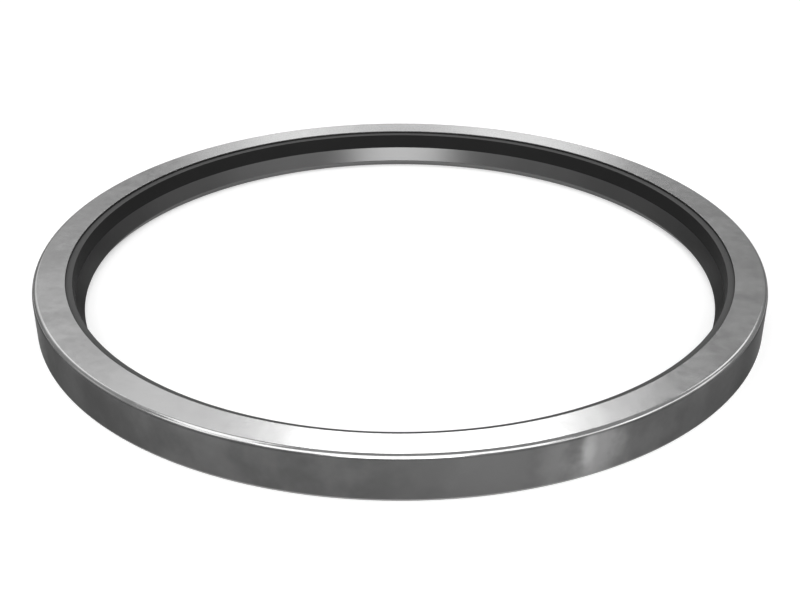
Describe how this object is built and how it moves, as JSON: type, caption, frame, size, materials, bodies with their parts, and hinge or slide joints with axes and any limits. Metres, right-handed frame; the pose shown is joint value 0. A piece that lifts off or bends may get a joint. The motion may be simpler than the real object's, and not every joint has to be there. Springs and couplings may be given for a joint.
{
  "type": "rod seal",
  "caption": "Metal-cased lip seal for a rod: a flat steel ring with a rounded outer edge, a black rubber lip bonded inside its flange and a garter spring behind the lip.",
  "frame": {"origin": "on the rod's axis, in the plane of the case's oil-side rim, which the seal stands on", "axes": "+Z along the rod's axis from the oil side to the air side, so the flange faces up; X and Y are equal, as the seal is round"},
  "size_m": [0.17, 0.17, 0.01],
  "materials": {
    "case_steel": "satin pressed sheet with faint turning marks and soft cloudy patches",
    "seal_rubber": "moulded black rubber with a soft sheen",
    "spring_steel": "bright drawn wire, close wound"
  },
  "bodies": {
    "root": {"outer_case": "case_steel", "sealing_lip": "seal_rubber", "garter_spring": "spring_steel"}
  },
  "joints": []
}
